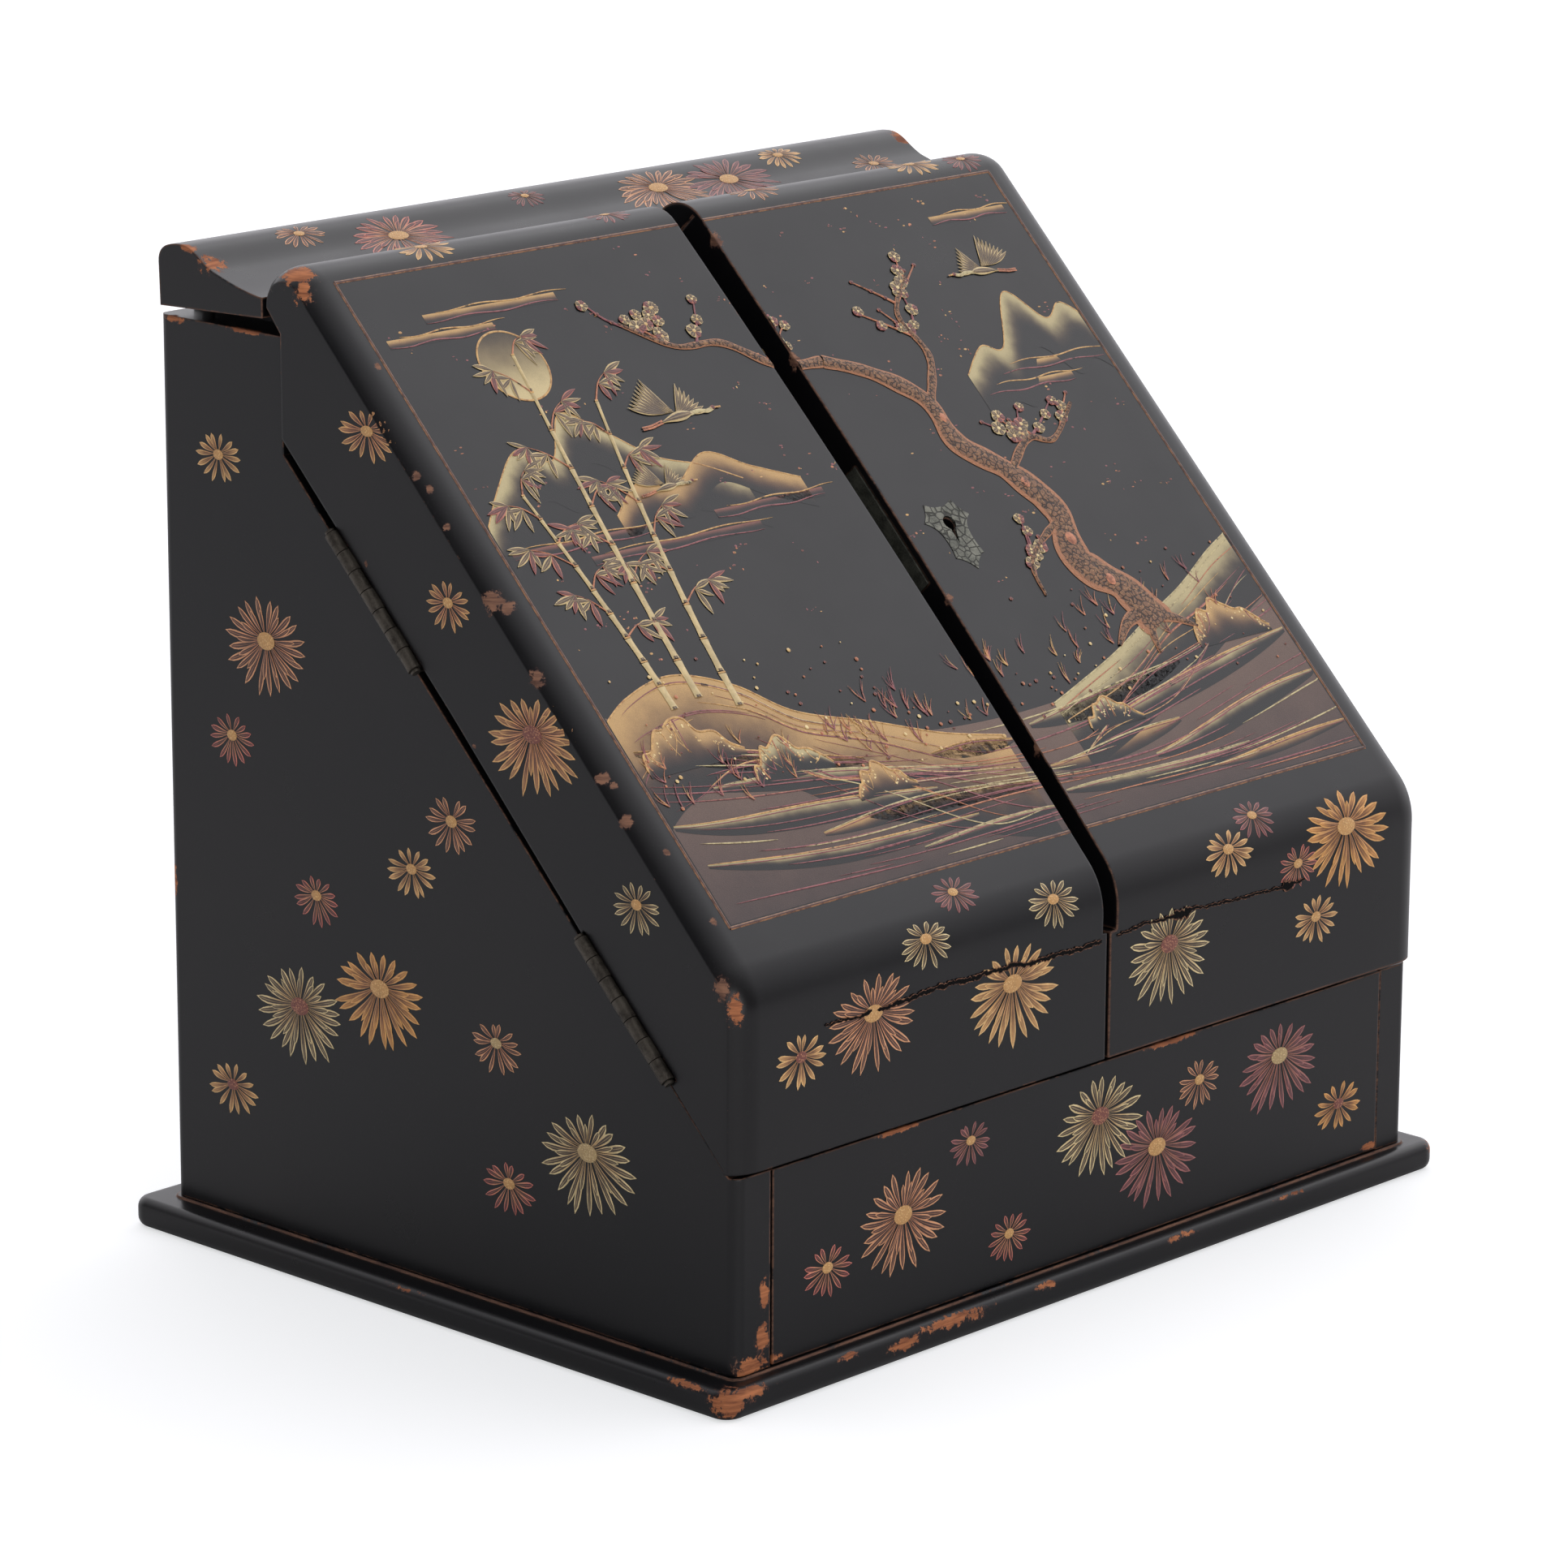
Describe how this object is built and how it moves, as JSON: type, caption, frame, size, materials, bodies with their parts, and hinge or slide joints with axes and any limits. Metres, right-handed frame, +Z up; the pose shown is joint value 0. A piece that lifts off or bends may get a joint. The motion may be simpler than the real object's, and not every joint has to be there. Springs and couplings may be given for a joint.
{
  "type": "lacquer stationery chest",
  "caption": "Sloping-front lacquered writing cabinet: wrap-round doors hinged on the sides, hinged top flap, letter rack, pen tray, drawer and edge lock on a moulded plinth.",
  "frame": {"origin": "middle of the plinth's underside, on the table", "axes": "+X to the chest's own left as it faces you (right in a front view) along the width, -Y out of the front, +Z up"},
  "size_m": [0.351, 0.2746, 0.3305],
  "materials": {
    "lacquer": "black lacquer over wood, worn satin, with gold and copper flower sprays",
    "inner_lacquer": "plain dark lacquer, satin",
    "bare_wood": "bare, planed",
    "hinge_brass": "dark patina",
    "lock_metal": "grey-green patina, engraved"
  },
  "bodies": {
    "case": {"plinth": "lacquer", "back_panel": "lacquer", "flap_rest_left": "lacquer", "flap_rest_middle": "lacquer", "flap_rest_right": "lacquer", "left_side_panel": "lacquer", "right_side_panel": "lacquer", "desk_board": "inner_lacquer", "upper_rail": "inner_lacquer", "pen_tray": "inner_lacquer", "left_rack_end": "inner_lacquer", "right_rack_end": "inner_lacquer", "letter_divider_1": "inner_lacquer", "letter_divider_2": "inner_lacquer", "letter_divider_3": "inner_lacquer", "letter_divider_4": "inner_lacquer", "left_drawer_runner": "bare_wood", "right_drawer_runner": "bare_wood", "left_door_upper_hinge_case_leaf": "hinge_brass", "left_door_upper_hinge_pin": "hinge_brass", "left_door_lower_hinge_case_leaf": "hinge_brass", "left_door_lower_hinge_pin": "hinge_brass", "right_door_upper_hinge_case_leaf": "hinge_brass", "right_door_upper_hinge_pin": "hinge_brass", "right_door_lower_hinge_case_leaf": "hinge_brass", "right_door_lower_hinge_pin": "hinge_brass", "lid_left_hinge_case_leaf": "hinge_brass", "lid_left_hinge_pin": "hinge_brass", "lid_right_hinge_case_leaf": "hinge_brass", "lid_right_hinge_pin": "hinge_brass"},
    "left_door": {"left_door_cheek": "lacquer", "left_door_slope_panel": "lacquer", "left_door_apron": "lacquer", "left_door_top_rail": "lacquer", "left_door_upper_hinge_door_leaf": "hinge_brass", "left_door_lower_hinge_door_leaf": "hinge_brass", "strike_plate": "lock_metal"},
    "right_door": {"right_door_cheek": "lacquer", "right_door_slope_panel": "lacquer", "right_door_apron": "lacquer", "right_door_top_rail": "lacquer", "right_door_upper_hinge_door_leaf": "hinge_brass", "right_door_lower_hinge_door_leaf": "hinge_brass", "lock_case": "lock_metal", "lock_cap": "lock_metal", "escutcheon": "lock_metal"},
    "top_flap": {"lid": "lacquer", "lid_left_hinge_lid_leaf": "hinge_brass", "lid_right_hinge_lid_leaf": "hinge_brass"},
    "drawer": {"drawer_front": "lacquer", "drawer_left_side": "inner_lacquer", "drawer_right_side": "inner_lacquer", "drawer_back": "inner_lacquer", "drawer_bottom": "inner_lacquer"},
    "bolt": {"lock_bolt": "lock_metal"}
  },
  "joints": [
    {"name": "left_door_hinge", "type": "hinge", "parent": "case", "child": "left_door", "pos_m": [-0.1673, 0.06578, 0.27017], "axis": [0, -0.7071, -0.7071], "range_deg": [0, 175]},
    {"name": "right_door_hinge", "type": "hinge", "parent": "case", "child": "right_door", "pos_m": [0.1673, 0.06578, 0.27017], "axis": [0, 0.7071, 0.7071], "range_deg": [0, 175]},
    {"name": "top_flap_hinge", "type": "hinge", "parent": "case", "child": "top_flap", "pos_m": [0, 0.12535, 0.3081], "axis": [-1, 0, 0], "range_deg": [0, 175]},
    {"name": "drawer_slide", "type": "slide", "parent": "case", "child": "drawer", "axis": [0, -1, 0], "range_m": [0, 0.17]},
    {"name": "bolt_slide", "type": "slide", "parent": "right_door", "child": "bolt", "axis": [-1, 0, 0], "range_m": [0, 0.0133]}
  ]
}
